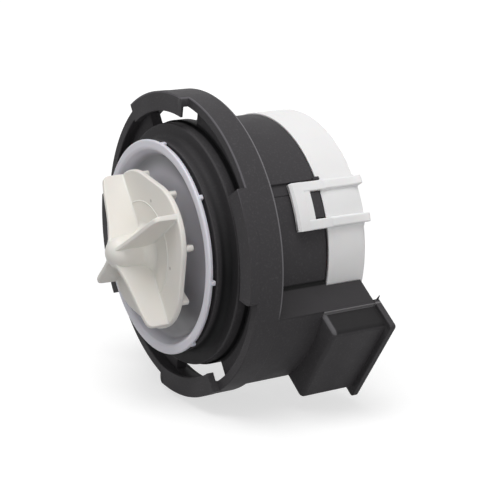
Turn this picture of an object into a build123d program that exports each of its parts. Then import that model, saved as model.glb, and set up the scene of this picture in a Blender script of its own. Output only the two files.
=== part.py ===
from build123d import *
import math
import os

# Pump axis is Y: the impeller looks along -Y, the rear cover along +Y.
# Stations (names ending in _y) are measured from the seat face of the housing.
# Angles are taken about the axis from +X towards +Z.
SPIN = Axis((0, 0, 0), (0, -1, 0))
cut_past = 2.0

# Front boss and stepped seat
boss_wall = 2.0
boss_bore_r = 27.4
lip_step = 0.2
lip_y = -4.1
lip_back_y = -3.3
boss_foot_flare = 1.6
boss_foot_y = -1.5
seat_y = 0.0
spigot_step = 0.1
spigot_chamfer = 0.5

# Bayonet ring
channel_floor_y = 3.5
channel_back_y = 6.7
channel_width = 6.2
ring_wall = 2.7
ring_front_y = 0.55
ring_back_y = 8.35
hook_overhang = 2.6
hook_wall_step = 0.3
hook_lift = 0.1
hook_front_y = -1.75
hook_thin = 0.7
hook_thick = 1.95
hook_count = 4
hook_angle = 11.0
hook_span = 42.4
window_step = 0.6
window_ledge = 0.4
window_span = 41.6

# Motor shell
shell_r = 33.7
shell_step_y = 28.0
shell_step = 1.0
shell_end_y = 38.5
shell_wall = 2.45
core_seat_y = 8.0
core_ledge = 2.25
bulkhead_back_y = 3.0
pocket_depth = 0.7
pocket_front_y = 14.0
pocket_span = 24.6
long_pocket_top = 36.8
long_pocket_low = -11.9

# Rotor can, moulded in one with the shell
can_wall = 1.2
rotor_gap = 0.7
can_mouth_step = 3.0
can_mouth_y = 1.5
can_end_in_y = 28.1
can_end_out_y = 29.6
rear_pocket_floor_y = 32.6
rear_pocket_wall = 1.6
can_cap_y = 34.0

# Connector block, in radial and tangential sizes about its own direction
block_angle = -35.0
block_inset = 0.2
block_low = -15.8
block_high = 13.0
block_back_y = 38.9
plug_front_y = 21.9
plug_root = 4.4
plug_wall = 1.45
plug_high = 12.2
plug_round = 1.5
mouth_sink = 2.0
mouth_width = 6.0
mouth_low = -14.2
mouth_high = 10.8
mouth_floor_y = 25.7
flange_back_y = 40.7
flange_root = 1.0
flange_lip = 1.75
flange_low = -17.5
flange_high = 13.3
flange_round = 2.0
cover_relief = 0.4

# Terminal blades
blade_width = 6.3
blade_thick = 0.8
blade_tip_y = 36.0
blade_foot_y = 23.2
blade_pitch = 12.6
blade_middle = -1.7
strip_width = 3.0
riser_sink = 5.9
leg_y = 26.4
leg_reach = 2.65

# Rear cover and its latches
cover_wall = 1.15
cover_fit = 0.25
cover_front_gap = 0.2
cover_floor = 2.0
cover_chamfer = 0.9
cover_rim = 12.1
cover_dimple = 0.6
latch_count = 3
latch_angle = 24.5
latch_span = 21.6
latch_gap = 0.2
latch_thick = 1.6
latch_front_y = 18.5
latch_window_span = 12.6
latch_window_y = 24.1
latch_sill_y = 27.7
latch_sill = 0.6
latch_flare_y = 38.5
latch_flare = 0.7
latch_tail = 0.7
catch_span = 11.6
catch_gap = 0.1
catch_sink = 0.3
catch_slope = 0.6

# Front chamber cover and its gasket
rim_overhang = 0.6
rim_width = 2.64
rim_front_y = -6.5
rim_taper = 0.3
rim_back_y = -5.3
rim_fit = 0.1
rim_spigot_wall = 2.4
gasket_front_y = -1.0
dish_floor_y = -2.6
dish_back_y = -1.4
dish_side = 6.36
dish_bend = 2.16
dish_bend_y = -3.7
dish_hole_gap = 1.0
nub_count = 8
nub_angle = 38.5
nub_width = 1.3
nub_length = 1.4
nub_back_y = -4.6

# Impeller
disc_r = 22.3
disc_flat_cut = 1.9
disc_front_y = -9.9
disc_back_y = -8.2
blade_count = 4
vane_angle = 35.0
vane_thick = 1.6
vane_inset = 0.3
vane_tip_y = -15.9
vane_mid_r = 10.0
vane_mid_y = -17.9
vane_root_r = 4.0
vane_root_y = -19.3
vane_corner = 2.5
hub_root_r = 4.7
hub_root_y = -10.9
hub_foot_r = 7.0
hub_tip_r = 3.6
hub_tip_y = -18.3
nose_y = -21.3
back_rib_count = 8
back_rib_angle = 12.0
back_rib_thick = 1.7
back_rib_inset = 1.1
back_rib_y = -6.0
cup_wall = 1.3
cup_bore_r = 6.7
cup_end_y = -1.4
hub_bore_end_y = -15.4

# Lost-motion drive between shaft and impeller
dog_wall = 1.2
damper_skin = 0.9
dog_half = 1.0
dog_front_y = -7.7
dog_back_y = -3.1
damper_wall = 0.8
damper_gap = 0.4
stop_gap = 0.4
stop_half = 1.6
stop_back_y = -2.6
cap_gap = 0.4

# Rotor
shaft_r = 2.0
shaft_front_y = -15.0
shaft_back_y = 32.0
running_gap = 0.04
washer_width = 2.4
washer_thick = 0.8
rotor_front_y = 8.5
magnet_flange_thick = 0.8
rotor_back_y = 27.1
magnet_r = 11.8
magnet_core_wall = 4.0
magnet_flange_step = 0.4

# Bearings, their mounts and the carrier that closes the can
bearing_wall = 2.5
bearing_mount_wall = 1.7
front_bearing_y = 3.4
bearing_length = 4.0
rear_bearing_y = 28.2
carrier_fit = 0.3
carrier_relief_wall = 1.4
carrier_relief_width = 2.0
carrier_relief_y = 2.0
seal_step = 0.2
seal_back_y = 2.8
web_gap = 0.6
seal_lip_front_y = 0.9
seal_lip_back_y = 1.5
seal_waist = 1.4
oring_groove_depth = 1.4
oring_groove_y = 3.5
oring_groove_back_y = 5.4

# Stator
yoke_fit = 0.05
yoke_band = 3.8
stack_height = 17.5
pole_angle = 55.0
pole_gap = 0.4
shoe_thick = 2.5
shoe_span = 124.0
neck_half = 5.5
neck_root = 0.9
neck_key = 1.8
bobbin_wall = 0.8
bobbin_gap = 0.8
bobbin_back_gap = 2.8
bobbin_flange_half = 11.5
bobbin_flange_rise = 4.25
winding_inset = 0.5
winding_round = 3.0
lead_r = 0.6
lead_bend = 14.0
lead_bend_side = 17.0
lead_end = 2.0
lead_end_side = 21.0
cutout_end = 0.5
cutout_start = -9.5
cutout_inset = 1.0
cutout_thick = 3.0

boss_r = boss_bore_r + boss_wall
lip_r = boss_r + lip_step
boss_foot_r = boss_r + boss_foot_flare
spigot_r = shell_r + spigot_step
shell_rear_r = shell_r - shell_step
core_bore_r = shell_r - shell_wall
core_seat_r = core_bore_r - core_ledge

can_bore_r = magnet_r + rotor_gap
can_r = can_bore_r + can_wall
can_mouth_r = can_bore_r + can_mouth_step
bearing_r = shaft_r + bearing_wall
bearing_pocket_r = bearing_r + bearing_mount_wall
rear_pocket_outer_r = bearing_pocket_r + rear_pocket_wall
front_bearing_back_y = front_bearing_y + bearing_length
rear_bearing_back_y = rear_bearing_y + bearing_length
carrier_flange_r = can_mouth_r - carrier_fit
carrier_relief_inner_r = bearing_pocket_r + carrier_relief_wall
carrier_relief_outer_r = carrier_relief_inner_r + carrier_relief_width
seal_pocket_r = bearing_pocket_r - seal_step
web_bore_r = shaft_r + web_gap
seal_waist_r = shaft_r + seal_waist
oring_groove_r = can_bore_r - oring_groove_depth
washer_r = shaft_r + washer_width
magnet_bore_r = shaft_r + magnet_core_wall
magnet_flange_r = magnet_r - magnet_flange_step
magnet_front_y = rotor_front_y + magnet_flange_thick
magnet_back_y = rotor_back_y - magnet_flange_thick

cover_bore_r = shell_rear_r + cover_fit
cover_r = cover_bore_r + cover_wall
cover_relief_r = cover_r + cover_relief
cover_front_y = shell_step_y + cover_front_gap
cover_back_y = shell_end_y + cover_floor
cover_dimple_r = cover_r - cover_rim
latch_inner_r = shell_r + latch_gap
latch_r = latch_inner_r + latch_thick
latch_sill_r = latch_inner_r + latch_sill
latch_flare_r = latch_r + latch_flare
latch_tail_y = cover_back_y + latch_tail
catch_r = latch_r - catch_sink
catch_low_r = catch_r - catch_slope

rim_r = boss_r + rim_overhang
rim_inner_r = rim_r - rim_width
rim_back_r = rim_r - rim_taper
rim_spigot_r = boss_bore_r - rim_fit
rim_spigot_inner_r = rim_spigot_r - rim_spigot_wall
dish_floor_r = rim_inner_r - dish_side
dish_bend_r = rim_inner_r - dish_bend
nub_inner_r = rim_r - nub_length
nub_outer_r = rim_r
cup_r = cup_bore_r + cup_wall
dish_hole_r = cup_r + dish_hole_gap

disc_flat = disc_r - disc_flat_cut
vane_r = disc_r - vane_inset
back_rib_r = disc_r - back_rib_inset
dog_hub_r = shaft_r + dog_wall
damper_hub_r = dog_hub_r + damper_wall
damper_reach = cup_bore_r - damper_gap
dog_reach = damper_reach - damper_skin
damper_half = dog_half + damper_skin
stop_inner_r = damper_hub_r + stop_gap
cap_bore_r = shaft_r + cap_gap

yoke_r = core_bore_r - yoke_fit
yoke_inner_r = yoke_r - yoke_band
stack_y = core_seat_y
stack_back_y = stack_y + stack_height
pole_bore_r = can_r + pole_gap
shoe_r = pole_bore_r + shoe_thick
neck_inner = pole_bore_r + neck_root
neck_outer = yoke_inner_r + neck_key
bobbin_inner = shoe_r + bobbin_gap
bobbin_outer = yoke_inner_r - bobbin_back_gap
winding_half = bobbin_flange_half - winding_inset
cutout_inner = bobbin_inner + cutout_inset
cutout_outer = bobbin_outer - cutout_inset

channel_r = shell_r + channel_width
ring_r = channel_r + ring_wall
hook_inner_r = channel_r - hook_overhang
hook_wall_r = channel_r + hook_wall_step
hook_outer_r = ring_r + hook_lift
window_inner_r = shell_r + window_step
window_outer_r = channel_r - window_ledge
block_r = ring_r - block_inset
plug_inner = block_r - plug_root
mouth_inner = block_r - mouth_sink
mouth_outer = mouth_inner + mouth_width
plug_outer = mouth_outer + plug_wall
flange_inner = mouth_inner - flange_root
flange_outer = plug_outer + flange_lip
blade_face = (mouth_inner + mouth_outer - blade_thick) / 2
riser_face = block_r - riser_sink
leg_tip = core_bore_r - leg_reach
stack_mid_y = (stack_y + stack_back_y) / 2
neck_rise = (stack_back_y - stack_y) / 2
winding_back_y = stack_mid_y + neck_rise + bobbin_flange_rise


def turned(outline, arc=360.0):
    """Outline points are (radius, station); the arc starts at angle zero."""
    face = make_face(Polyline(*outline, close=True))
    return revolve(face, SPIN, arc)


def tube(inner, outer, y0, y1):
    return turned([(inner, y0), (outer, y0), (outer, y1), (inner, y1)])


def sector(inner, outer, y0, y1, middle, span):
    arc = turned([(inner, y0), (outer, y0), (outer, y1), (inner, y1)], span)
    return arc.rotate(SPIN, middle - span / 2)


def bar(near, far, low, high, y0, y1, angle=0.0):
    """Block from near to far along its direction, low to high across it."""
    middle = Pos((near + far) / 2, (y0 + y1) / 2, (low + high) / 2)
    solid = middle * Box(far - near, y1 - y0, high - low)
    return solid.rotate(SPIN, angle)


def round_bar(near, far, low, high, y0, y1, angle, radius):
    solid = bar(near, far, low, high, y0, y1)
    solid = fillet(solid.edges().filter_by(Axis.Y), radius)
    return solid.rotate(SPIN, angle)


def joined(base, pieces):
    for piece in pieces:
        base = base + piece
    return base


def cut_by(base, pieces):
    for piece in pieces:
        base = base - piece
    return base


def hook_plate():
    """Hook plate over its window; its rear face is a ramp for the mating lug."""
    deep_y = hook_front_y + hook_thick
    plate = sector(hook_inner_r, hook_outer_r, hook_front_y, deep_y, 0, hook_span)
    mean_y = hook_front_y + (hook_thin + hook_thick) / 2
    chord = 2 * hook_outer_r * math.sin(math.radians(hook_span / 2))
    tilt = math.degrees(math.atan2(hook_thick - hook_thin, chord))
    side = hook_outer_r + cut_past
    ramp = bar(0, side, -side, side, 0, side)
    ramp = ramp.rotate(Axis.X, tilt)
    ramp = Pos(0, mean_y, 0) * ramp
    wall = sector(hook_wall_r, hook_outer_r, hook_front_y, ring_front_y + hook_thin, 0, hook_span)
    return plate - ramp + wall


def shell():
    """Turned part of the housing with boss, seat, shell and rotor can."""
    return turned([
        (boss_bore_r, lip_y),
        (lip_r, lip_y),
        (lip_r, lip_back_y),
        (boss_r, lip_back_y),
        (boss_r, boss_foot_y),
        (boss_foot_r, seat_y),
        (spigot_r - spigot_chamfer, seat_y),
        (spigot_r, seat_y + spigot_chamfer),
        (spigot_r, channel_floor_y),
        (shell_r, channel_floor_y),
        (shell_r, shell_step_y),
        (shell_rear_r, shell_step_y),
        (shell_rear_r, shell_end_y),
        (core_bore_r, shell_end_y),
        (core_bore_r, core_seat_y),
        (core_seat_r, core_seat_y),
        (core_seat_r, bulkhead_back_y),
        (can_r, bulkhead_back_y),
        (can_r, can_end_out_y),
        (rear_pocket_outer_r, can_end_out_y),
        (rear_pocket_outer_r, can_cap_y),
        (0, can_cap_y),
        (0, rear_pocket_floor_y),
        (bearing_pocket_r, rear_pocket_floor_y),
        (bearing_pocket_r, can_end_in_y),
        (can_bore_r, can_end_in_y),
        (can_bore_r, can_mouth_y),
        (can_mouth_r, can_mouth_y),
        (can_mouth_r, seat_y),
        (boss_bore_r, seat_y),
    ])


def bayonet_ring():
    floor = tube((core_bore_r + shell_r) / 2, (channel_r + ring_r) / 2, channel_floor_y, channel_back_y)
    wall = tube(channel_r, ring_r, ring_front_y, ring_back_y)
    ring = floor + wall
    window = sector(
        window_inner_r, window_outer_r, channel_floor_y - cut_past, channel_back_y + cut_past, 0, window_span
    )
    for i in range(hook_count):
        turn = hook_angle + i * 360.0 / hook_count
        ring = ring - window.rotate(SPIN, turn)
        ring = ring + hook_plate().rotate(SPIN, turn)
    return ring


def connector_block():
    base = bar(0, block_r, block_low, block_high, ring_back_y, block_back_y, block_angle)
    base = base & tube(core_bore_r, block_r, ring_back_y, block_back_y)
    base = base - tube(0, cover_relief_r, shell_step_y, block_back_y)
    plug = round_bar(
        plug_inner, plug_outer, block_low, plug_high, plug_front_y, block_back_y, block_angle, plug_round
    )
    flange = round_bar(
        flange_inner, flange_outer, flange_low, flange_high, block_back_y, flange_back_y, block_angle, flange_round
    )
    mouth = bar(
        mouth_inner, mouth_outer, mouth_low, mouth_high, mouth_floor_y, flange_back_y + cut_past, block_angle
    )
    return base + plug + flange - mouth


def terminal(middle):
    """One blade with its foot, riser and inner leg bent from one strip."""
    half = strip_width / 2
    blade = bar(
        blade_face, blade_face + blade_thick,
        middle - blade_width / 2, middle + blade_width / 2,
        blade_foot_y, blade_tip_y,
    )
    low, high = middle - half, middle + half
    foot = bar(riser_face, blade_face + blade_thick, low, high, blade_foot_y, blade_foot_y + blade_thick)
    riser = bar(riser_face, riser_face + blade_thick, low, high, blade_foot_y, leg_y + blade_thick)
    leg = bar(leg_tip, riser_face + blade_thick, low, high, leg_y, leg_y + blade_thick)
    return (blade + foot + riser + leg).rotate(SPIN, block_angle)


def terminals():
    return [terminal(blade_middle - blade_pitch / 2), terminal(blade_middle + blade_pitch / 2)]


def motor_housing():
    body = shell() + bayonet_ring()
    long_span = long_pocket_top - long_pocket_low
    long_middle = (long_pocket_top + long_pocket_low) / 2
    depth_r = shell_r - pocket_depth
    outer = shell_r + cut_past
    body = body - sector(depth_r, outer, pocket_front_y, shell_step_y, long_middle, long_span)
    catch = turned([
        (depth_r - pocket_depth, latch_window_y + catch_gap),
        (catch_r, latch_window_y + catch_gap),
        (catch_low_r, latch_sill_y - catch_gap),
        (depth_r - pocket_depth, latch_sill_y - catch_gap),
    ], catch_span)
    for i in range(latch_count):
        turn = latch_angle + i * 360.0 / latch_count
        if i > 0:
            body = body - sector(depth_r, outer, pocket_front_y, shell_step_y, turn, pocket_span)
        body = body + catch.rotate(SPIN, turn - catch_span / 2)
    return cut_by(body + connector_block(), terminals())


def latch():
    front = sector(latch_inner_r, latch_r, latch_front_y, latch_window_y, 0, latch_span)
    sill = sector(latch_inner_r, latch_sill_r, latch_sill_y, cover_back_y - cover_chamfer, 0, latch_window_span)
    arm_span = (latch_span - latch_window_span) / 2
    arm = turned([
        (latch_inner_r, latch_front_y),
        (latch_r, latch_front_y),
        (latch_r, latch_flare_y),
        (latch_flare_r, latch_tail_y),
        (latch_inner_r, latch_tail_y),
    ], arm_span)
    return front + sill + arm.rotate(SPIN, latch_window_span / 2) + arm.rotate(SPIN, -latch_span / 2)


def rear_cover():
    floor_y = cover_back_y - cover_dimple
    cap = turned([
        (0, shell_end_y),
        (cover_bore_r, shell_end_y),
        (cover_bore_r, cover_front_y),
        (cover_r, cover_front_y),
        (cover_r, cover_back_y - cover_chamfer),
        (cover_r - cover_chamfer, cover_back_y),
        (cover_dimple_r, cover_back_y),
        (cover_dimple_r, floor_y),
        (0, floor_y),
    ])
    one = latch()
    turns = [latch_angle + i * 360.0 / latch_count for i in range(latch_count)]
    return joined(cap, [one.rotate(SPIN, turn) for turn in turns])


def front_cover():
    outline = Polyline(
        (rim_inner_r, rim_front_y),
        (rim_r, rim_front_y),
        (rim_back_r, rim_back_y),
        (rim_spigot_r, rim_back_y),
        (rim_spigot_r, gasket_front_y),
        (rim_spigot_inner_r, gasket_front_y),
        (rim_spigot_inner_r, dish_back_y),
        (dish_hole_r, dish_back_y),
        (dish_hole_r, dish_floor_y),
        (dish_floor_r, dish_floor_y),
    )
    dish = ThreePointArc(
        (dish_floor_r, dish_floor_y), (dish_bend_r, dish_bend_y), (rim_inner_r, rim_front_y)
    )
    cover = revolve(make_face([outline, dish]), SPIN)
    nub = bar(nub_inner_r, nub_outer_r, -nub_width / 2, nub_width / 2, rim_back_y - nub_width / 2, nub_back_y)
    turns = [nub_angle + i * 360.0 / nub_count for i in range(nub_count)]
    return joined(cover, [nub.rotate(SPIN, turn) for turn in turns])


def vane():
    half = vane_thick / 2
    root_y = (disc_front_y + disc_back_y) / 2
    side = make_face(Polyline(
        (0, root_y),
        (vane_r, root_y),
        (vane_r, vane_tip_y + vane_corner),
        (vane_r - vane_corner, vane_tip_y),
        (vane_mid_r, vane_mid_y),
        (vane_root_r, vane_root_y),
        (0, vane_root_y),
        close=True,
    ))
    return extrude(side, half, both=True)


def hub():
    """Tapered hub with a foot on the disc and a ball-shaped nose."""
    rise = hub_tip_y - nose_y
    ball_r = (hub_tip_r ** 2 + rise ** 2) / (2 * rise)
    ball_y = nose_y + ball_r
    half_turn = math.asin(hub_tip_r / ball_r) / 2
    side = Polyline(
        (0, nose_y), (0, disc_front_y), (hub_foot_r, disc_front_y), (hub_root_r, hub_root_y), (hub_tip_r, hub_tip_y)
    )
    nose = ThreePointArc(
        (hub_tip_r, hub_tip_y),
        (ball_r * math.sin(half_turn), ball_y - ball_r * math.cos(half_turn)),
        (0, nose_y),
    )
    return revolve(make_face([side, nose]), SPIN)


def impeller():
    disc = tube(0, disc_r, disc_front_y, disc_back_y)
    side = disc_r + cut_past
    flat = bar(disc_flat, side, -side, side, disc_front_y - cut_past, disc_back_y + cut_past)
    between = vane_angle + 180.0 / blade_count
    disc = cut_by(disc, [flat.rotate(SPIN, between + i * 360.0 / blade_count) for i in range(blade_count)])
    wheel = disc + hub()
    blade = vane()
    wheel = joined(wheel, [blade.rotate(SPIN, vane_angle + i * 360.0 / blade_count) for i in range(blade_count)])
    root_y = (disc_front_y + disc_back_y) / 2
    cup_mid_r = (cup_bore_r + cup_r) / 2
    wheel = wheel + tube(cup_bore_r, cup_r, root_y, cup_end_y)
    rib = bar(cup_mid_r, back_rib_r, -back_rib_thick / 2, back_rib_thick / 2, root_y, back_rib_y)
    ribs = [rib.rotate(SPIN, back_rib_angle + i * 360.0 / back_rib_count) for i in range(back_rib_count)]
    wheel = joined(wheel, ribs)
    wheel = wheel + bar(stop_inner_r, cup_mid_r, -stop_half, stop_half, root_y, stop_back_y, 180.0)
    return wheel - tube(0, shaft_r + running_gap, hub_bore_end_y, disc_back_y)


def drive_dog():
    hub = tube(shaft_r, dog_hub_r, dog_front_y, dog_back_y)
    arm = bar((shaft_r + dog_hub_r) / 2, dog_reach, -dog_half, dog_half, dog_front_y, dog_back_y)
    return hub + arm


def drive_damper():
    jacket = tube(shaft_r, damper_hub_r, dog_front_y, dog_back_y)
    jacket = jacket + bar(dog_hub_r, damper_reach, -damper_half, damper_half, dog_front_y, dog_back_y)
    jacket = jacket - tube(0, dog_hub_r, dog_front_y, dog_back_y)
    return jacket - bar(0, dog_reach, -dog_half, dog_half, dog_front_y, dog_back_y)


def coupling_cap():
    return tube(cap_bore_r, cup_bore_r, stop_back_y, cup_end_y)


def magnet_carrier():
    core = tube(shaft_r, magnet_bore_r, rotor_front_y, rotor_back_y)
    front = tube(magnet_bore_r, magnet_flange_r, rotor_front_y, magnet_front_y)
    back = tube(magnet_bore_r, magnet_flange_r, magnet_back_y, rotor_back_y)
    return core + front + back


def bearing_carrier():
    body = turned([
        (seal_pocket_r, seat_y),
        (carrier_flange_r, seat_y),
        (carrier_flange_r, can_mouth_y),
        (can_bore_r, can_mouth_y),
        (can_bore_r, oring_groove_y),
        (oring_groove_r, oring_groove_y),
        (oring_groove_r, oring_groove_back_y),
        (can_bore_r, oring_groove_back_y),
        (can_bore_r, front_bearing_back_y),
        (bearing_pocket_r, front_bearing_back_y),
        (bearing_pocket_r, front_bearing_y),
        (web_bore_r, front_bearing_y),
        (web_bore_r, seal_back_y),
        (seal_pocket_r, seal_back_y),
    ])
    relief_back_y = front_bearing_back_y + cut_past
    return body - tube(carrier_relief_inner_r, carrier_relief_outer_r, carrier_relief_y, relief_back_y)


def shaft_seal():
    lip_r_in = shaft_r + running_gap
    return turned([
        (seal_pocket_r, seat_y),
        (seal_pocket_r, seal_back_y),
        (seal_waist_r, seal_back_y),
        (lip_r_in, seal_lip_back_y),
        (lip_r_in, seal_lip_front_y),
        (seal_waist_r, seat_y),
    ])


def carrier_oring():
    minor = (can_bore_r - oring_groove_r) / 2
    middle_y = (oring_groove_y + oring_groove_back_y) / 2
    section = Pos(can_bore_r - minor, middle_y) * Circle(minor)
    return revolve(section, SPIN)


def bearing(front, back):
    return tube(shaft_r + running_gap, bearing_r, front, back)


def bearing_mount(front, back):
    return tube(bearing_r, bearing_pocket_r, front, back)


def neck(angle):
    return bar(neck_inner, neck_outer, -neck_half, neck_half, stack_y, stack_back_y, angle)


def stator_yoke():
    ring = tube(yoke_inner_r, yoke_r, stack_y, stack_back_y)
    return ring - neck(pole_angle) - neck(pole_angle + 180.0)


def stator_pole(angle):
    shoe = sector(pole_bore_r, shoe_r, stack_y, stack_back_y, angle, shoe_span)
    return shoe + neck(angle)


def ring_block(near, far, half, rise):
    return bar(near, far, -half, half, stack_mid_y - rise, stack_mid_y + rise)


def bobbin(angle):
    wide = neck_half + bobbin_wall
    flange_rise = neck_rise + bobbin_flange_rise
    spool = ring_block(bobbin_inner, bobbin_outer, wide, neck_rise + bobbin_wall)
    spool = spool + ring_block(bobbin_inner, bobbin_inner + bobbin_wall, bobbin_flange_half, flange_rise)
    spool = spool + ring_block(bobbin_outer - bobbin_wall, bobbin_outer, bobbin_flange_half, flange_rise)
    return (spool - ring_block(neck_inner, neck_outer, neck_half, neck_rise)).rotate(SPIN, angle)


def winding(angle):
    near, far = bobbin_inner + bobbin_wall, bobbin_outer - bobbin_wall
    coil = ring_block(near, far, winding_half, neck_rise + bobbin_flange_rise)
    coil = fillet(coil.edges().filter_by(Axis.X), winding_round)
    hole = ring_block(near, far, neck_half + bobbin_wall, neck_rise + bobbin_wall)
    return (coil - hole).rotate(SPIN, angle)


def lead(middle, side):
    """Insulated lead from a terminal's inner leg to the end of a winding."""
    on_leg_y = leg_y + blade_thick + lead_r
    on_coil_y = winding_back_y + lead_r
    path = [
        (leg_tip + lead_r, on_leg_y, middle),
        (lead_bend, on_coil_y, side * lead_bend_side),
        (lead_end, on_coil_y, side * lead_end_side),
    ]
    wire = None
    for start, end in zip(path, path[1:]):
        run = Vector(*end) - Vector(*start)
        piece = Plane(origin=start, z_dir=run) * Cylinder(
            lead_r, run.length, align=(Align.CENTER, Align.CENTER, Align.MIN)
        )
        wire = piece if wire is None else wire + piece
        wire = wire + Pos(*end) * Sphere(lead_r)
    return wire.rotate(SPIN, block_angle)


def coil_leads():
    low, high = blade_middle - blade_pitch / 2, blade_middle + blade_pitch / 2
    return Compound(children=[lead(low, -1), lead(high, 1)])


def thermal_cutout():
    back_y = winding_back_y + cutout_thick
    return bar(cutout_start, cutout_end, cutout_inner, cutout_outer, winding_back_y, back_y, block_angle)


nodes = {
    "motor_housing": motor_housing(),
    "rear_cover": rear_cover(),
    "front_cover": front_cover(),
    "cover_gasket": tube(rim_spigot_inner_r, rim_spigot_r, gasket_front_y, seat_y),
    "impeller": impeller(),
    "coupling_cap": coupling_cap(),
    "drive_dog": drive_dog(),
    "drive_damper": drive_damper(),
    "rotor_shaft": tube(0, shaft_r, shaft_front_y, shaft_back_y),
    "rotor_magnet": tube(magnet_bore_r, magnet_r, magnet_front_y, magnet_back_y),
    "magnet_carrier": magnet_carrier(),
    "thrust_washer_front": tube(shaft_r, washer_r, rotor_front_y - washer_thick, rotor_front_y),
    "thrust_washer_rear": tube(shaft_r, washer_r, rotor_back_y, rotor_back_y + washer_thick),
    "front_bearing": bearing(front_bearing_y, front_bearing_back_y),
    "front_bearing_mount": bearing_mount(front_bearing_y, front_bearing_back_y),
    "rear_bearing": bearing(rear_bearing_y, rear_bearing_back_y),
    "rear_bearing_mount": bearing_mount(rear_bearing_y, rear_bearing_back_y),
    "bearing_carrier": bearing_carrier(),
    "carrier_oring": carrier_oring(),
    "shaft_seal": shaft_seal(),
    "stator_yoke": stator_yoke(),
    "stator_poles": Compound(children=[stator_pole(pole_angle), stator_pole(pole_angle + 180.0)]),
    "coil_bobbins": Compound(children=[bobbin(pole_angle), bobbin(pole_angle + 180.0)]),
    "coil_windings": Compound(children=[winding(pole_angle), winding(pole_angle + 180.0)]),
    "coil_leads": coil_leads(),
    "thermal_cutout": thermal_cutout(),
    "terminal_blades": Compound(children=terminals()),
}

os.makedirs("parts", exist_ok=True)
for name, solid in nodes.items():
    solid.label = name
    export_step(solid, f"parts/{name}.step")
    box = solid.bounding_box()
    print(name, len(solid.solids()), round(solid.volume, 1), box.min, box.max)
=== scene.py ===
from math import atan2, cos, degrees, hypot, radians, sin, sqrt

import bmesh
import bpy
from mathutils import Matrix, Vector


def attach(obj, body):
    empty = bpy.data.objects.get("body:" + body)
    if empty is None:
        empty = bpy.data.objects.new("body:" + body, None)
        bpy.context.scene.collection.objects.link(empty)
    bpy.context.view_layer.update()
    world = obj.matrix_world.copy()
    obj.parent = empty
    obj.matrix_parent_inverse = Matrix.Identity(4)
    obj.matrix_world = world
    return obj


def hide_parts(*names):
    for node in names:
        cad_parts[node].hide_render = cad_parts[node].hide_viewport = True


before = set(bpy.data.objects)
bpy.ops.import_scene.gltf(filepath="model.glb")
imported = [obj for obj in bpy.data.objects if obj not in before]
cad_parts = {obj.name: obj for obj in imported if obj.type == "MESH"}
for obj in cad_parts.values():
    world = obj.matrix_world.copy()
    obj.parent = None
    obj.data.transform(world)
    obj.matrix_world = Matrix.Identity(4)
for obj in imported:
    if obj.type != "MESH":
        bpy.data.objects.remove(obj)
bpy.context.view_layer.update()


# Impeller. One cream moulding: a disc with four straight blades, a hub with a ball nose that flares onto the
# disc, ribs behind the disc and the cup that takes the drive dog. It spins freely on the shaft.
AXIS = (0, -1, 0)


def turn(part, angle):
    bmesh.ops.rotate(part, verts=part.verts, cent=(0, 0, 0), matrix=Matrix.Rotation(radians(angle), 3, AXIS))
    return part


def round_corner(part, point, radius, segments=6):
    bmesh.ops.bevel(part, geom=[point], offset=radius, offset_type="OFFSET", segments=segments,
                    profile=0.5, affect="VERTICES", material=-1)


def turned(outline, start=0.0, span=360.0, steps=180, open_axis=False):
    """Spins an outline of (radius, station, rounding) points about the pump axis."""
    part = bmesh.new()
    points = [part.verts.new((r, y, 0)) for r, y, *_ in outline]
    if span < 360:
        part.faces.new(points)
    else:
        for pair in zip(points, points[1:] + ([] if open_axis else points[:1])):
            part.edges.new(pair)
    for point, (_, _, *rounding) in zip(points, outline):
        if rounding:
            round_corner(part, point, rounding[0])
    bmesh.ops.spin(part, geom=part.verts[:] + part.edges[:] + part.faces[:], cent=(0, 0, 0), axis=AXIS,
                   dvec=(0, 0, 0), angle=radians(span), steps=steps, use_merge=span == 360, use_duplicate=False)
    bmesh.ops.remove_doubles(part, verts=part.verts, dist=1e-7)
    bmesh.ops.recalc_face_normals(part, faces=part.faces)
    return turn(part, start)


def extruded(part, shift):
    """Draws the part's flat face along a shift into a closed solid."""
    side = bmesh.ops.extrude_face_region(part, geom=part.faces[:])
    moved = [v for v in side["geom"] if isinstance(v, bmesh.types.BMVert)]
    bmesh.ops.translate(part, verts=moved, vec=shift)
    bmesh.ops.recalc_face_normals(part, faces=part.faces)
    return part


def soften(part, radius, least=32.0, segments=3):
    """Rounds every edge that turns by more than the least angle."""
    sharp = [e for e in part.edges if len(e.link_faces) == 2 and degrees(e.calc_face_angle(0.0)) > least]
    bmesh.ops.bevel(part, geom=sharp, offset=radius, offset_type="OFFSET", segments=segments,
                    profile=0.5, affect="EDGES", clamp_overlap=True, material=-1)
    bmesh.ops.recalc_face_normals(part, faces=part.faces)
    return part


def block(near, far, low, high, front, back, angle=0.0, rounding=0.0, edge=0.0):
    """A bar from near to far along its direction and low to high across it."""
    part = bmesh.new()
    bmesh.ops.create_cube(part, size=1)
    bmesh.ops.scale(part, verts=part.verts, vec=(far - near, back - front, high - low))
    bmesh.ops.translate(part, verts=part.verts, vec=((near + far) / 2, (front + back) / 2, (low + high) / 2))
    if rounding:
        along = [e for e in part.edges if abs(e.verts[0].co.y - e.verts[1].co.y) > (back - front) / 2]
        bmesh.ops.bevel(part, geom=along, offset=rounding, offset_type="OFFSET", segments=6,
                        profile=0.5, affect="EDGES", material=-1)
    if edge:
        soften(part, edge)
    return turn(part, angle)


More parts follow.
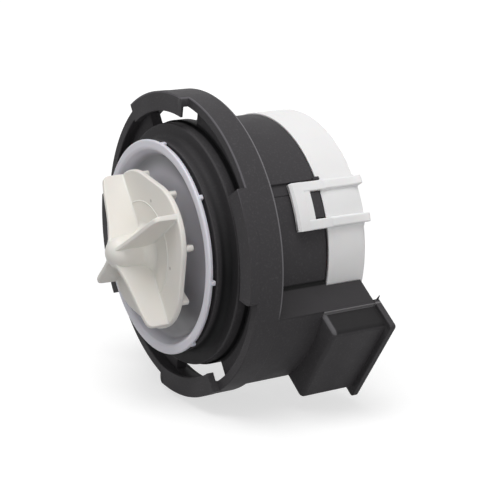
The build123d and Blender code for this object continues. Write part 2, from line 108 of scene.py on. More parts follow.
def moulding(name, parts, body, material, nodes):
    """Gathers closed parts into one smooth shaded piece that stands for its CAD nodes."""
    whole = bpy.data.meshes.new(name)
    shape = bmesh.new()
    for part in parts:
        part.to_mesh(whole)
        part.free()
        shape.from_mesh(whole)
    for face in shape.faces:
        face.smooth = True
    shape.to_mesh(whole)
    shape.free()
    piece = bpy.data.objects.new(name, whole)
    bpy.context.scene.collection.objects.link(piece)
    whole.materials.append(material)
    piece.modifiers.new("flat_faces_stay_flat", "WEIGHTED_NORMAL").keep_sharp = False
    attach(piece, body)
    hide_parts(*nodes)
    return piece


def plastic(name, colour, mottle, roughness, grain, glow=0.0, specular=0.5):
    """Moulded plastic: clouded colour, uneven gloss and the fine grain of the mould."""
    material = bpy.data.materials.new(name)
    material.use_nodes = True
    nodes, links = material.node_tree.nodes, material.node_tree.links
    shader = nodes["Principled BSDF"]
    shader.inputs["Specular IOR Level"].default_value = specular
    shader.inputs["Subsurface Weight"].default_value = glow
    shader.inputs["Subsurface Scale"].default_value = 0.002
    place = nodes.new("ShaderNodeTexCoord")
    cloud = nodes.new("ShaderNodeTexNoise")
    cloud.inputs["Scale"].default_value = 160
    cloud.inputs["Detail"].default_value = 4
    tone = nodes.new("ShaderNodeMix")
    tone.name = "tone"
    tone.data_type = "RGBA"
    tone.inputs["A"].default_value = (*[c * (1 - mottle) for c in colour], 1)
    tone.inputs["B"].default_value = (*[min(c * (1 + mottle), 1) for c in colour], 1)
    gloss = nodes.new("ShaderNodeMapRange")
    gloss.inputs["From Min"].default_value = 0.3
    gloss.inputs["From Max"].default_value = 0.7
    gloss.inputs["To Min"].default_value = roughness - 0.06
    gloss.inputs["To Max"].default_value = roughness + 0.06
    skin = nodes.new("ShaderNodeTexNoise")
    skin.inputs["Scale"].default_value = 2600
    skin.inputs["Detail"].default_value = 2
    bump = nodes.new("ShaderNodeBump")
    bump.inputs["Strength"].default_value = grain
    bump.inputs["Distance"].default_value = 0.00005
    links.new(place.outputs["Object"], cloud.inputs["Vector"])
    links.new(place.outputs["Object"], skin.inputs["Vector"])
    links.new(cloud.outputs["Fac"], tone.inputs["Factor"])
    links.new(tone.outputs["Result"], shader.inputs["Base Color"])
    links.new(cloud.outputs["Fac"], gloss.inputs["Value"])
    links.new(gloss.outputs["Result"], shader.inputs["Roughness"])
    links.new(skin.outputs["Fac"], bump.inputs["Height"])
    links.new(bump.outputs["Normal"], shader.inputs["Normal"])
    return material


disc_front, disc_back = -0.0099, -0.0082
disc_flat, disc_corner = 0.0205, 0.0155
blade_angle = 35.0
blade_r = 0.0225
blade_root, blade_crest = 0.0009, 0.00065
crest_y = -0.0193
nose = -0.0213
circle_r = 0.01335
cup_in, cup_out, cup_back = 0.0067, 0.0080, -0.0014
foot = 0.0006
buried = 0.00003
overlap = 0.0005

disc = bmesh.new()
bmesh.ops.create_circle(disc, cap_ends=True, segments=4, radius=disc_flat * sqrt(2))
bmesh.ops.rotate(disc, verts=disc.verts, cent=(0, 0, 0), matrix=Matrix.Rotation(radians(90), 3, "X"))
bmesh.ops.translate(disc, verts=disc.verts, vec=(0, disc_front, 0))
for corner in disc.verts[:]:
    round_corner(disc, corner, disc_corner, 40)
extruded(disc, (0, disc_back - disc_front, 0))
soften(turn(disc, blade_angle), 0.0005, 60, 4)

hub = turned([
    (0, nose),
    (0.0041, nose, 0.0037),
    (0.0050, disc_front + buried, 0.0030),
    (0.0086, disc_front + buried),
    (0.0086, disc_front + overlap),
    (0, disc_front + overlap),
], open_axis=True)
raised_circle = turned([
    (circle_r - 0.00025, disc_front + 0.0002),
    (circle_r - 0.00025, disc_front - 0.00005),
    (circle_r, disc_front - 0.00016),
    (circle_r + 0.00025, disc_front - 0.00005),
    (circle_r + 0.00025, disc_front + 0.0002),
])


def blade(angle):
    """A straight blade, drafted from root to crest. Its crest climbs the nose and falls away to the rim."""
    part = bmesh.new()
    corners = [
        (0, disc_front + overlap), (blade_r, disc_front + overlap), (blade_r, -0.0156), (0.0195, -0.0166),
        (0.0100, -0.0180), (0.0048, crest_y), (0.0034, -0.0200), (0.0022, -0.0208), (0, -0.0208),
    ]
    points = [part.verts.new((x, y, -blade_root)) for x, y in corners]
    part.faces.new(points)
    for point, radius in zip(points[2:7], (0.0013, 0.0030, 0.0030, 0.0008, 0.0008)):
        round_corner(part, point, radius)
    extruded(part, (0, 0, 2 * blade_root))
    for point in part.verts:
        share = (point.co.y - disc_front) / (crest_y - disc_front)
        point.co.z *= 1 + share * (blade_crest / blade_root - 1)
    return turn(soften(part, 0.0004, 60, 4), angle)


def concave_corner(at, out, away, run, radius):
    """Fills the corner between a floor and a wall; its thin edges are buried in both."""
    part = bmesh.new()
    deep, end = -0.0004, radius + 0.0001
    corners = [(deep, deep), (deep, end), (-buried, end), (-buried, -buried), (end, -buried), (end, deep)]
    points = [part.verts.new(Vector(at) + a * Vector(out) + b * Vector(away)) for a, b in corners]
    part.faces.new(points)
    round_corner(part, points[3], radius, 10)
    return extruded(part, run)


def root_corner(angle, side):
    start = (0.0050, disc_front, side * blade_root)
    return turn(concave_corner(start, (0, -1, 0), (0, 0, side), (0.0168, 0, 0), foot), angle)


blades = [blade(blade_angle + 90 * quarter) for quarter in range(4)]
root_corners = [root_corner(blade_angle + 90 * quarter, side) for quarter in range(4) for side in (-1, 1)]
back_ribs = [block(0.0075, 0.0213, -0.00085, 0.00085, disc_back - overlap, -0.0060, 12.0 + 45 * i, 0.0007, 0.0002)
             for i in range(8)]
cup = soften(turned([
    (cup_in, disc_back - overlap), (cup_out, disc_back - overlap), (cup_out, cup_back), (cup_in, cup_back),
]), 0.0002)
stop = block(0.0044, 0.0072, -0.0016, 0.0016, disc_back - overlap, -0.0026, 180.0, edge=0.0002)
cream_plastic = plastic("cream_impeller_plastic", (0.785, 0.758, 0.712), 0.02, 0.42, 0.12, glow=0.06)


def ramp(material, source, start, end, low=0.0, high=1.0):
    """Goes from low to high while the source goes from start to end."""
    node = material.node_tree.nodes.new("ShaderNodeMapRange")
    node.interpolation_type = "SMOOTHSTEP"
    for name, value in (("From Min", start), ("From Max", end), ("To Min", low), ("To Max", high)):
        node.inputs[name].default_value = value
    material.node_tree.links.new(source, node.inputs["Value"])
    return node.outputs["Result"]


def measured(material, operation, other):
    """Distance from a point, or length along a direction, of each place on the piece."""
    node = material.node_tree.nodes.new("ShaderNodeVectorMath")
    node.operation = operation
    node.inputs[1].default_value = other
    place = material.node_tree.nodes["Texture Coordinate"].outputs["Object"]
    material.node_tree.links.new(place, node.inputs[0])
    return node.outputs["Value"]


def painted(material, mask, tint):
    """Mixes a tint into the colour where the mask nears one."""
    nodes, links = material.node_tree.nodes, material.node_tree.links
    base = nodes["Principled BSDF"].inputs["Base Color"]
    paint = nodes.new("ShaderNodeMix")
    paint.data_type = "RGBA"
    paint.inputs["B"].default_value = (*tint, 1)
    links.new(mask, paint.inputs["Factor"])
    links.new(base.links[0].from_socket, paint.inputs["A"])
    links.new(paint.outputs["Result"], base)


for speck in ((0.0043, disc_front, 0.0144), (0.0146, disc_front, -0.0021)):
    spot = ramp(cream_plastic, measured(cream_plastic, "DISTANCE", speck), 0.0003, 0.0006, 0.55, 0.0)
    painted(cream_plastic, spot, (0.30, 0.26, 0.25))
moulding("impeller_moulding",
         [disc, hub, raised_circle, *blades, *root_corners, *back_ribs, cup, stop],
         "wheel", cream_plastic, ["impeller"])


# Front chamber cover. A milky white ring and dish pressed into the housing's boss; the impeller turns in
# its hollow. It is thin enough for the black boss behind its floor to show through; that darkening is painted
# on the floor and grows towards the bottom as painted shade, with a painted shadow under the top of the rim.
# Eight small nubs behind the rim locate it.
rim, rim_front, rim_back = 0.0300, -0.0065, -0.0053
wall_out, foot_in, foot_back = 0.0273, 0.0249, -0.0010
floor_front, floor_back = -0.0026, -0.0014
neck_r = 0.0090
dish = turned([
    (0.02736, rim_front, 0.0007),
    (rim, rim_front, 0.0006),
    (0.0297, rim_back, 0.0002),
    (wall_out, rim_back),
    (wall_out, foot_back),
    (foot_in, foot_back),
    (foot_in, floor_back),
    (neck_r, floor_back),
    (neck_r, floor_front, 0.0003),
    (0.0251, floor_front, 0.0013),
])
nubs = [block(0.0284, 0.0300, -0.00065, 0.00065, rim_back - 0.0006, -0.0046, 38.5 + 45 * i, 0.0003, 0.00015)
        for i in range(8)]
milky_plastic = plastic("milky_dish_plastic", (0.72, 0.71, 0.775), 0.02, 0.34, 0.08, glow=0.10)


def from_axis(material):
    """Distance of each place on the piece from the pump axis."""
    nodes, links = material.node_tree.nodes, material.node_tree.links
    across = nodes.new("ShaderNodeVectorMath")
    across.operation = "MULTIPLY"
    across.inputs[1].default_value = (1, 0, 1)
    radius = nodes.new("ShaderNodeVectorMath")
    radius.operation = "LENGTH"
    links.new(nodes["Texture Coordinate"].outputs["Object"], across.inputs[0])
    links.new(across.outputs["Vector"], radius.inputs[0])
    return radius.outputs["Value"]


def times(material, one, other):
    node = material.node_tree.nodes.new("ShaderNodeMath")
    node.operation = "MULTIPLY"
    material.node_tree.links.new(one, node.inputs[0])
    material.node_tree.links.new(other, node.inputs[1])
    return node.outputs[0]


def where(material, *limits):
    """One where every limit holds; a limit is a source with the start and end of its rise."""
    mask = ramp(material, *limits[0])
    for limit in limits[1:]:
        mask = times(material, mask, ramp(material, *limit))
    return mask


dish_radius = from_axis(milky_plastic)
height = measured(milky_plastic, "DOT_PRODUCT", (0, 0, 1))
floor_share = ramp(milky_plastic, dish_radius, 0.0272, 0.0240)
boss_showing_through_and_painted_shade = (0.022, 0.021, 0.018)
under_rim_shade = (0.020, 0.020, 0.022)
# Painted: the floor is tinted where the black boss shows through, deepening towards the bottom as painted shade.
for top, bottom, strength in ((0.024, 0.000, 0.40), (-0.004, -0.019, 0.52)):
    depth = ramp(milky_plastic, height, top, bottom, 0.0, strength)
    painted(milky_plastic, times(milky_plastic, floor_share, depth), boss_showing_through_and_painted_shade)
# Painted shadow on the floor just under the top of the rim.
under_rim = where(milky_plastic, (dish_radius, 0.0265, 0.0250), (dish_radius, 0.0195, 0.0245, 0.0, 0.75),
                  (height, 0.013, 0.021))
painted(milky_plastic, under_rim, under_rim_shade)
moulding("front_dish", [dish, *nubs], "stator", milky_plastic, ["front_cover"])


# Motor housing. One black moulding: the boss with its lip, the stepped seat, the bayonet channel with four
# hook plates over windows, the round shell with its catches, and the connector block on one side.
shell_r, recess_r, shell_end = 0.0337, 0.0330, 0.0280
skin_in = 0.0322
seat_r = 0.0338
channel_r, ring_r = 0.0399, 0.0426
channel_front, channel_back = 0.0035, 0.0067
ring_front, ring_back = 0.00055, 0.00835
hook_front, hook_thin, hook_thick = -0.00175, 0.0007, 0.00195
hook_angle, hook_span = 11.0, 42.4

boss = turned([
    (0.0274, -0.0041),
    (0.0296, -0.0041, 0.0003),
    (0.0296, -0.0033, 0.0002),
    (0.0294, -0.0032),
    (0.0294, 0.0, 0.0018),
    (seat_r, 0.0, 0.0006),
    (seat_r, channel_front),
    (0.0343, channel_front),
    (0.0343, channel_back),
    (recess_r, channel_back),
    (recess_r, shell_end, 0.0002),
    (0.0327, shell_end),
    (0.0327, 0.0385),
    (0.03125, 0.0385),
    (0.03125, 0.0080),
    (0.0290, 0.0080),
    (0.0290, 0.0030),
    (0.0137, 0.0030),
    (0.0137, 0.0296),
    (0.0078, 0.0296),
    (0.0078, 0.0326),
    (0.0062, 0.0326),
    (0.0062, 0.0281),
    (0.0125, 0.0281),
    (0.0125, 0.0015),
    (0.0155, 0.0015),
    (0.0155, 0.0),
    (0.0274, 0.0),
])
can_cap = turned([(0, 0.0320), (0.0078, 0.0320), (0.0078, 0.0340, 0.0006), (0, 0.0340)], open_axis=True)
front_skin = turned([
    (skin_in, channel_back - overlap),
    (shell_r, channel_back - overlap),
    (shell_r, 0.0140, 0.0002),
    (skin_in, 0.0140),
])


def skin(start, end):
    """A stretch of the shell's full radius between two latch pockets."""
    outline = [(skin_in, 0.0135), (shell_r, 0.0135), (shell_r, shell_end), (skin_in, shell_end)]
    return soften(turned(outline, start, end - start, int((end - start) / 2)), 0.0002)


skins = [skin(36.8, 132.2), skin(156.8, 252.2), skin(276.8, 348.1)]
pocket_stub = block(0.0330, 0.0346, -0.0005, 0.0005, 0.0270, 0.0290, 36.9, 0.0003, 0.0002)
pocket_line = block(0.0325, 0.03312, -0.0001, 0.0001, 0.0135, 0.0240, 31.4)
ring = turned([
    (channel_r, ring_front, 0.0003),
    (ring_r, ring_front, 0.0003),
    (ring_r, ring_back, 0.0004),
    (channel_r, ring_back, 0.0003),
])


def channel_floor(near, far):
    return [(near, channel_front), (far, channel_front), (far, channel_back), (near, channel_back)]


floor_start, floor_span = 31.8, 48.4
ring_root = turned(channel_floor(0.0395, 0.0403))
floors = [soften(turned(channel_floor(0.0340, 0.0400), floor_start + 90 * i, floor_span, 24), 0.0002)
          for i in range(4)]


def hook_plate(angle):
    """A plate over a window: its rear face is a ramp, thin at the end where the lug enters."""
    level = hook_front + hook_thin
    part = turned([
        (0.0373, hook_front),
        (0.0427, hook_front),
        (0.0427, 0.0012),
        (0.0402, 0.0012),
        (0.0402, level),
        (0.0373, level),
    ], -hook_span / 2, hook_span, 24)
    for point in part.verts:
        if abs(point.co.y - level) < 1e-6:
            share = degrees(atan2(point.co.z, point.co.x)) / hook_span + 0.5
            point.co.y += share * (hook_thick - hook_thin)
    corner = [e for e in part.edges if all(
        abs(degrees(atan2(v.co.z, v.co.x)) + hook_span / 2) < 0.01 and hypot(v.co.x, v.co.z) > 0.0426
        for v in e.verts)]
    bmesh.ops.bevel(part, geom=corner, offset=0.0024, offset_type="OFFSET", segments=6,
                    profile=0.5, affect="EDGES", material=-1)
    bmesh.ops.recalc_face_normals(part, faces=part.faces)
    return turn(soften(part, 0.00025), angle)


hooks = [hook_plate(hook_angle + 90 * i) for i in range(4)]


def catch(angle):
    """Wedge that fills a latch window; the loop slides up it and drops behind its steep face."""
    outline = [(skin_in, 0.0242), (0.0352, 0.0242), (0.0346, 0.0276), (skin_in, 0.0276)]
    return soften(turned(outline, angle - 5.8, 11.6, 12), 0.00025)


latch_angle = 24.5
catches = [catch(latch_angle + 120 * i) for i in range(3)]

block_angle = -35.0
block_low, block_high = -0.0158, 0.0130
plug_front, plug_back = 0.0219, 0.03885
flange_front, flange_back = 0.0388, 0.0407
mouth, mouth_floor = (0.0404, 0.0464, -0.0142, 0.0108), 0.0257


def slab():
    """Block on the shell's side. Its front part reaches the ring's arc, its rear part backs the plug."""
    back_wall, step = 0.0398, 0.0258
    front, cover_edge, back_end = 0.0080, 0.0278, 0.0389
    shell_arc, cover_arc, ring_arc = 0.0325, 0.0345, 0.0424
    part = bmesh.new()
    outline = [(shell_arc, front), (ring_arc, front), (ring_arc, step), (back_wall, step), (back_wall, back_end),
               (cover_arc, back_end), (cover_arc, cover_edge), (shell_arc, cover_edge)]
    part.faces.new([part.verts.new((x, y, block_low)) for x, y in outline])
    extruded(part, (0, 0, block_high - block_low))
    across = [e for e in part.edges if abs(e.verts[0].co.z - e.verts[1].co.z) > 0.01]
    bmesh.ops.subdivide_edges(part, edges=across, cuts=23, use_grid_fill=True)
    for point in part.verts:
        on_ring = sqrt(ring_arc ** 2 - point.co.z ** 2)
        if abs(point.co.x - back_wall) < 1e-6:
            point.co.x = min(back_wall, on_ring - 0.0003)
        else:
            point.co.x = sqrt(point.co.x ** 2 - point.co.z ** 2)
    bmesh.ops.recalc_face_normals(part, faces=part.faces)
    return turn(soften(part, 0.0003, 40), block_angle)


def rounded_loop(part, box, station, rounding):
    """Edges of a rectangle (near, far, low, high) with rounded corners."""
    near, far, low, high = box
    points = [part.verts.new((x, station, z)) for x, z in ((near, low), (far, low), (far, high), (near, high))]
    old = set(part.edges)
    for pair in zip(points, points[1:] + points[:1]):
        part.edges.new(pair)
    bmesh.ops.bevel(part, geom=points, offset=rounding, offset_type="OFFSET", segments=6,
                    profile=0.5, affect="VERTICES", material=-1)
    return [e for e in part.edges if e not in old]


def drawn(part, edges, shift):
    """Draws a loop of edges along the axis and gives the loop at its far end."""
    wall = bmesh.ops.extrude_edge_only(part, edges=edges)["geom"]
    moved = [v for v in wall if isinstance(v, bmesh.types.BMVert)]
    bmesh.ops.translate(part, verts=moved, vec=(0, shift, 0))
    return [e for e in wall if isinstance(e, bmesh.types.BMEdge) and all(v in moved for v in e.verts)]


def socket(outer, inner, front, floor, back, outer_round, inner_round):
    """Box with a closed front and a mouth in its back, down to the floor."""
    part = bmesh.new()
    outer_loop = rounded_loop(part, outer, back, outer_round)
    mouth_loop = rounded_loop(part, inner, back, inner_round)
    bmesh.ops.bridge_loops(part, edges=outer_loop + mouth_loop)
    for loop, depth in ((outer_loop, front - back), (mouth_loop, floor - back)):
        bmesh.ops.edgeloop_fill(part, edges=drawn(part, loop, depth))
    bmesh.ops.recalc_face_normals(part, faces=part.faces)
    return part


def mouth_frame(outer, inner, front, back, outer_round, inner_round):
    """Plate around the mouth, open in the middle."""
    part = bmesh.new()
    edges = rounded_loop(part, outer, front, outer_round) + rounded_loop(part, inner, front, inner_round)
    bmesh.ops.bridge_loops(part, edges=edges)
    return extruded(part, (0, back - front, 0))


plug_outline = (0.0370, 0.04785, block_low + 0.00004, 0.0122)
slab_block = slab()
slab_lip = block(0.0390, 0.0408, 0.0119, block_high - 0.00004, 0.0223, flange_front, block_angle, edge=0.00015)
plug = socket(plug_outline, mouth, plug_front, mouth_floor, plug_back, 0.0016, 0.0005)
plug_front_edges = [e for e in plug.edges if all(abs(v.co.y - plug_front) < 1e-6 for v in e.verts)]
bmesh.ops.bevel(plug, geom=plug_front_edges, offset=0.0011, offset_type="OFFSET", segments=5,
                profile=0.5, affect="EDGES", clamp_overlap=True, material=-1)
turn(plug, block_angle)
flange_mouth = (0.0403, 0.0465, -0.0143, 0.0109)
flange_outline = (0.0392, 0.0496, -0.0175, 0.0133)
flange = mouth_frame(flange_outline, flange_mouth, flange_front, flange_back, 0.0009, 0.0006)
turn(soften(flange, 0.0003), block_angle)
flange_tip = bmesh.new()
bmesh.ops.create_cone(flange_tip, cap_ends=True, segments=10, radius1=0.00045, radius2=0.00012, depth=0.0024)
bmesh.ops.translate(flange_tip, verts=flange_tip.verts, vec=(0.0396, 0.0402, 0.0134))
turn(flange_tip, block_angle)

black_plastic = plastic("black_housing_plastic", (0.052, 0.0495, 0.0525), 0.08, 0.62, 0.25, specular=0.12)


lean = radians(block_angle)
from_centre = from_axis(black_plastic)
back, up, block_out, block_up = (
    measured(black_plastic, "DOT_PRODUCT", direction)
    for direction in ((0, 1, 0), (0, 0, 1), (cos(lean), 0, sin(lean)), (-sin(lean), 0, cos(lean))))
# Painted shade in the recess around the boss and the seat, weaker towards the top.
painted_recess_shade = where(black_plastic, (up, 0.028, -0.004, 0.40, 1.0), (back, -0.0033, -0.0020), (back, 0.0004, -0.0002),
               (from_centre, 0.0336, 0.0332))
# Painted shadow line in the groove at the foot of the seat's wall.
painted_groove_shadow = where(black_plastic, (from_centre, 0.0336, 0.0337), (from_centre, 0.0356, 0.0348),
                     (back, 0.0024, 0.0031), (back, 0.0045, 0.0040))
# Pale painted highlight along the ring's rear outer edge, above the bottom.
painted_ring_rear_highlight = where(black_plastic, (from_centre, 0.0423, 0.0425), (back, 0.0077, 0.0079), (up, -0.013, -0.010))
# Pale painted highlight along the upper part of the ring's front edge, between the hook plates.
painted_ring_front_highlight = where(black_plastic, (from_centre, 0.0421, 0.0424), (from_centre, 0.04267, 0.04263),
                        (back, 0.0011, 0.0008), (up, 0.012, 0.024))
# Pale painted highlight along the plug's front top edge.
painted_plug_edge_highlight = where(black_plastic, (block_up, 0.0113, 0.0117), (back, 0.0213, 0.0216), (back, 0.0232, 0.0228),
                  (block_out, 0.0405, 0.0415))
# Pale painted highlight along the slab lip's outer top edge.
painted_lip_highlight = where(black_plastic, (block_out, 0.0405, 0.0407), (block_out, 0.0412, 0.0409),
                 (block_up, 0.0118, 0.0121), (back, 0.0220, 0.0223))
# Painted shade darkening the slab's top face.
painted_slab_top_shade = where(black_plastic, (block_up, 0.0123, 0.0128), (block_up, 0.0136, 0.0133),
                 (block_out, 0.0306, 0.0312), (block_out, 0.0412, 0.0404), (back, 0.0060, 0.0100))
# Painted shade in the crease where the slab's top meets the shell.
painted_slab_crease_shade = where(black_plastic, (block_up, 0.0127, 0.0129), (block_up, 0.01345, 0.01325),
                    (block_out, 0.0300, 0.0304), (block_out, 0.0319, 0.0314), (back, 0.0084, 0.0087),
                    (back, 0.0282, 0.0279))
# Painted shade darkening the plug's top face.
painted_plug_top_shade = where(black_plastic, (block_up, 0.0113, 0.0119), (block_out, 0.0406, 0.0412), (back, 0.0226, 0.0236),
                 (back, 0.0390, 0.0386))
dust = black_plastic.node_tree.nodes.new("ShaderNodeTexNoise")
dust.inputs["Scale"].default_value = 1800
dust.inputs["Detail"].default_value = 3
black_plastic.node_tree.links.new(black_plastic.node_tree.nodes["Texture Coordinate"].outputs["Object"],
                                  dust.inputs["Vector"])
painted(black_plastic, ramp(black_plastic, dust.outputs["Fac"], 0.50, 0.80, 0.0, 0.20), (0.15, 0.145, 0.15))
# Over the light dust specks: painted shade on tops, crease, recess and groove, and painted highlights on edges.
for place, tint in (
    (painted_slab_top_shade, (0.040, 0.038, 0.040)),
    (painted_plug_top_shade, (0.022, 0.021, 0.022)),
    (painted_slab_crease_shade, (0.010, 0.010, 0.010)),
    (painted_recess_shade, (0.006, 0.006, 0.0065)),
    (painted_groove_shadow, (0.006, 0.006, 0.0065)),
    (painted_ring_rear_highlight, (0.17, 0.165, 0.175)),
    (painted_ring_front_highlight, (0.12, 0.115, 0.125)),
    (painted_plug_edge_highlight, (0.11, 0.107, 0.113)),
    (painted_lip_highlight, (0.18, 0.175, 0.18)),
):
    painted(black_plastic, place, tint)
moulding("housing_moulding",
         [boss, can_cap, front_skin, *skins, pocket_stub, pocket_line, ring, ring_root, *floors, *hooks, *catches,
          slab_block, slab_lip, plug, flange, flange_tip],
         "stator", black_plastic, ["motor_housing"])


# Rear cover. A white clip-on cap with a skirt over the shell's end. Three loops reach forward over the
# housing's catches, each between two ribs that run back past the rear edge.
cover_r, cover_front, cover_back = 0.0341, 0.0282, 0.0405
loop_front, loop_in, loop_out = 0.0185, 0.0339, 0.0355
loop_half, window_half = 10.8, 6.3
sill_in, sill_out = 0.0336, 0.0345
cap = turned([
    (0, 0.0385),
    (0.03295, 0.0385),
    (0.03295, cover_front),
    (cover_r, cover_front, 0.0003),
    (cover_r, cover_back, 0.0011),
    (0.0220, cover_back, 0.0004),
    (0.0220, cover_back - 0.0006, 0.0004),
    (0, cover_back - 0.0006),
], open_axis=True)


def latch_loop(angle):
    """Front bar, sill behind the window, and the two arms that run back as ribs with flared ends."""
    leading_edge = [(loop_in, loop_front), (loop_out - 0.0007, loop_front), (loop_out, loop_front + 0.0007)]
    front_bar = [
        *leading_edge,
        (loop_out, 0.0222), (loop_out - 0.00012, 0.0223), (loop_out - 0.00012, 0.0241), (loop_in, 0.0241),
    ]
    sill = [(sill_in, 0.0281), (sill_out, 0.0281), (sill_out, 0.0402), (sill_in, 0.0402)]
    arm = [*leading_edge, (loop_out, 0.0294), (loop_in, 0.0294)]
    rib = [
        (sill_in, 0.0288), (loop_out - 0.0002, 0.0288), (loop_out - 0.0002, 0.0383, 0.0020),
        (0.0364, 0.0412, 0.0007), (sill_in, 0.0412),
    ]
    width = loop_half - window_half
    parts = [soften(turned(front_bar, angle - loop_half, 2 * loop_half, 16), 0.0002),
             turned(sill, angle - window_half - 0.5, 2 * window_half + 1, 12)]
    for start in (angle + window_half, angle - loop_half):
        parts.append(soften(turned(arm, start, width, 6), 0.0003))
        parts.append(soften(turned(rib, start + 0.15, width - 0.3, 6), 0.0005, 50))
        for edge, side in ((start + 0.15, -1), (start + width - 0.15, 1)):
            inner_side = abs(edge - angle) < window_half + 0.5
            beside_r, radius = (sill_out, 0.0004) if inner_side else (cover_r, 0.0008)
            corner = concave_corner((beside_r, 0.0292, 0), (1, 0, 0), (0, 0, side), (0, 0.0110, 0), radius)
            parts.append(turn(corner, edge))
    return parts


loops = [part for i in range(3) for part in latch_loop(latch_angle + 120 * i)]
white_plastic = plastic("white_cover_plastic", (0.86, 0.85, 0.85), 0.012, 0.40, 0.10, glow=0.04)
moulding("rear_cap", [cap, *loops], "stator", white_plastic, ["rear_cover"])


# Drive between shaft and impeller, inside the cup: a dog pressed on the shaft, its rubber damper, and the
# cap that keeps both in the cup. They keep their CAD shape.
def finish_node(node, material):
    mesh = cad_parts[node].data
    mesh.materials.clear()
    mesh.materials.append(material)


def rubber(name, colour):
    """Moulded rubber: matt, with a dusty bloom in patches."""
    return plastic(name, colour, 0.25, 0.78, 0.5, specular=0.25)


def metal(name, colour, roughness, lines):
    """Worked metal: fine lines around the pump axis from turning or grinding."""
    material = bpy.data.materials.new(name)
    material.use_nodes = True
    nodes, links = material.node_tree.nodes, material.node_tree.links
    shader = nodes["Principled BSDF"]
    shader.inputs["Metallic"].default_value = 1.0
    place = nodes.new("ShaderNodeTexCoord")
    stretch = nodes.new("ShaderNodeMapping")
    stretch.inputs["Scale"].default_value = (1, lines, 1)
    cloud = nodes.new("ShaderNodeTexNoise")
    cloud.inputs["Scale"].default_value = 300
    cloud.inputs["Detail"].default_value = 5
    tone = nodes.new("ShaderNodeMix")
    tone.data_type = "RGBA"
    tone.inputs["A"].default_value = (*[c * 0.8 for c in colour], 1)
    tone.inputs["B"].default_value = (*colour, 1)
    gloss = nodes.new("ShaderNodeMapRange")
    gloss.inputs["To Min"].default_value = roughness - 0.1
    gloss.inputs["To Max"].default_value = roughness + 0.1
    bump = nodes.new("ShaderNodeBump")
    bump.inputs["Strength"].default_value = 0.15
    bump.inputs["Distance"].default_value = 0.00005
    links.new(place.outputs["Object"], stretch.inputs["Vector"])
    links.new(stretch.outputs["Vector"], cloud.inputs["Vector"])
    links.new(cloud.outputs["Fac"], tone.inputs["Factor"])
    links.new(tone.outputs["Result"], shader.inputs["Base Color"])
    links.new(cloud.outputs["Fac"], gloss.inputs["Value"])
    links.new(gloss.outputs["Result"], shader.inputs["Roughness"])
    links.new(cloud.outputs["Fac"], bump.inputs["Height"])
    links.new(bump.outputs["Normal"], shader.inputs["Normal"])
    return material


damper_rubber = rubber("damper_rubber", (0.02, 0.02, 0.022))
finish_node("drive_dog", plastic("grey_dog_plastic", (0.22, 0.22, 0.24), 0.05, 0.45, 0.2))
finish_node("drive_damper", damper_rubber)
finish_node("coupling_cap", cream_plastic)


# Rotor. A ground steel shaft carries a ferrite magnet on a moulded carrier, with a plastic thrust washer at
# each end that runs against the bearing.
finish_node("rotor_shaft", metal("ground_shaft_steel", (0.62, 0.62, 0.64), 0.25, 12))
finish_node("rotor_magnet", metal("sintered_ferrite", (0.10, 0.10, 0.11), 0.6, 1))
carrier_plastic = plastic("grey_carrier_plastic", (0.42, 0.42, 0.40), 0.04, 0.45, 0.2)
finish_node("magnet_carrier", carrier_plastic)
washer_plastic = plastic("amber_washer_plastic", (0.50, 0.42, 0.25), 0.06, 0.35, 0.1)
finish_node("thrust_washer_front", washer_plastic)
finish_node("thrust_washer_rear", washer_plastic)


# Bearings. Two carbon bushes sit in rubber mounts; a moulded carrier with an O-ring closes the rotor can, and
# a lip seal and the cover's gasket keep the water out.
carbon = metal("bearing_carbon", (0.07, 0.07, 0.075), 0.5, 6)
for node in ("front_bearing", "rear_bearing"):
    finish_node(node, carbon)
for node in ("front_bearing_mount", "rear_bearing_mount", "carrier_oring", "shaft_seal", "cover_gasket"):
    finish_node(node, damper_rubber)
finish_node("bearing_carrier", carrier_plastic)


# Stator: a laminated yoke and two poles, each with a bobbin and a copper winding, and the thermal cutout
# and leads that join them to the terminal blades in the connector.
core_steel = metal("laminated_core_steel", (0.30, 0.30, 0.32), 0.5, 8)
for node in ("stator_yoke", "stator_poles"):
    finish_node(node, core_steel)
finish_node("coil_bobbins", plastic("bobbin_plastic", (0.62, 0.60, 0.54), 0.03, 0.45, 0.2))
finish_node("coil_windings", metal("enamelled_copper", (0.72, 0.30, 0.14), 0.35, 10))
finish_node("coil_leads", plastic("lead_insulation", (0.50, 0.05, 0.04), 0.05, 0.4, 0.1))
finish_node("thermal_cutout", plastic("cutout_case", (0.06, 0.06, 0.065), 0.1, 0.4, 0.2))
finish_node("terminal_blades", metal("tinned_brass", (0.74, 0.71, 0.62), 0.3, 5))


# Photographer's table. Pale paper that shows near white to the camera and keeps the pump's soft shadow, with
# four soft boxes around it and the camera at the photo's angle.
floor_z = -0.0445
table_shape = bmesh.new()
bmesh.ops.create_grid(table_shape, x_segments=1, y_segments=1, size=3.0)
bmesh.ops.translate(table_shape, verts=table_shape.verts, vec=(0, 0, floor_z))
table_mesh = bpy.data.meshes.new("table")
table_shape.to_mesh(table_mesh)
table_shape.free()
table = bpy.data.objects.new("table", table_mesh)
bpy.context.scene.collection.objects.link(table)


def seen_as(nodes, links, surface, lit, shown):
    """Shows one surface to the camera, in mirrors and through glass, and the lit one to every other ray."""
    ray = nodes.new("ShaderNodeLightPath")
    seen = ray.outputs["Is Camera Ray"]
    for kind in ("Is Glossy Ray", "Is Transmission Ray"):
        either = nodes.new("ShaderNodeMath")
        either.operation = "MAXIMUM"
        links.new(seen, either.inputs[0])
        links.new(ray.outputs[kind], either.inputs[1])
        seen = either.outputs[0]
    choose = nodes.new("ShaderNodeMixShader")
    links.new(seen, choose.inputs["Fac"])
    links.new(lit, choose.inputs[1])
    links.new(shown, choose.inputs[2])
    links.new(choose.outputs[0], surface)


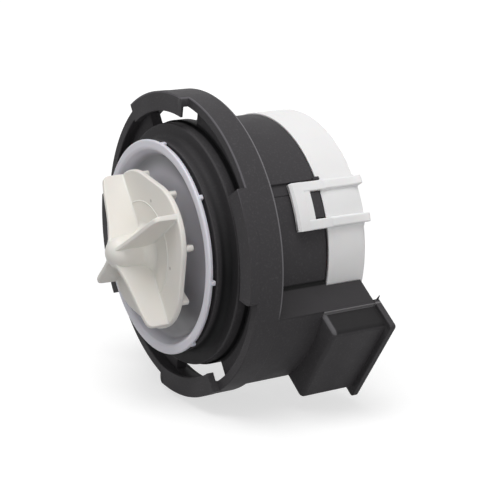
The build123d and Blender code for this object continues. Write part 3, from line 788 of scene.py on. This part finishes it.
paper = bpy.data.materials.new("pale_table")
paper.use_nodes = True
paper_nodes, paper_links = paper.node_tree.nodes, paper.node_tree.links
paper_shader = paper_nodes["Principled BSDF"]
paper_shader.inputs["Base Color"].default_value = (0.33, 0.33, 0.33, 1)
paper_shader.inputs["Roughness"].default_value = 0.9
paper_face = paper_nodes.new("ShaderNodeBsdfDiffuse")
paper_face.inputs["Color"].default_value = (0.5, 0.5, 0.5, 1)
paper_nodes.new("ShaderNodeTexCoord")
paper_fade = ramp(paper, measured(paper, "DISTANCE", (0, 0, 0)), 0.08, 0.90, 0.62, 0.92)
paper_glow = paper_nodes.new("ShaderNodeEmission")
paper_links.new(paper_fade, paper_glow.inputs["Strength"])
paper_shown = paper_nodes.new("ShaderNodeAddShader")
paper_links.new(paper_face.outputs[0], paper_shown.inputs[0])
paper_links.new(paper_glow.outputs[0], paper_shown.inputs[1])
seen_as(paper_nodes, paper_links, paper_nodes["Material Output"].inputs["Surface"],
        paper_shader.outputs[0], paper_shown.outputs[0])
table_mesh.materials.append(paper)

world = bpy.data.worlds.new("studio")
bpy.context.scene.world = world
world.use_nodes = True
world_nodes, world_links = world.node_tree.nodes, world.node_tree.links
dim = world_nodes["Background"]
dim.inputs["Color"].default_value = (1, 1, 1, 1)
dim.inputs["Strength"].default_value = 0.30
bright = world_nodes.new("ShaderNodeBackground")
bright.inputs["Color"].default_value = (1, 1, 1, 1)
bright.inputs["Strength"].default_value = 1.0
seen_as(world_nodes, world_links, world_nodes["World Output"].inputs["Surface"],
        dim.outputs[0], bright.outputs[0])


def soft_box(name, place, size, watts):
    lamp = bpy.data.lights.new(name, "AREA")
    lamp.size = size
    lamp.energy = watts
    holder = bpy.data.objects.new(name, lamp)
    holder.location = place
    holder.rotation_euler = (-Vector(place)).to_track_quat("-Z", "Y").to_euler()
    bpy.context.scene.collection.objects.link(holder)


soft_box("key_light", (0.15, -0.15, 0.70), 0.5, 3.75)
soft_box("side_light", (0.66, -0.17, 0.10), 0.3, 0.95)
soft_box("front_light", (-0.12, -0.60, 0.22), 0.4, 0.30)
soft_box("back_light", (-0.26, 0.64, 0.06), 0.4, 1.20)

lens = bpy.data.cameras.new("camera")
lens.sensor_width = 36.0
lens.lens = 110.95
camera = bpy.data.objects.new("camera", lens)
camera.location = (0.363794, -0.199114, 0.106661)
camera.rotation_euler = (radians(90 - 14.648), 0, radians(58.465))
bpy.context.scene.collection.objects.link(camera)
bpy.context.scene.camera = camera
bpy.context.scene.view_settings.view_transform = "Standard"
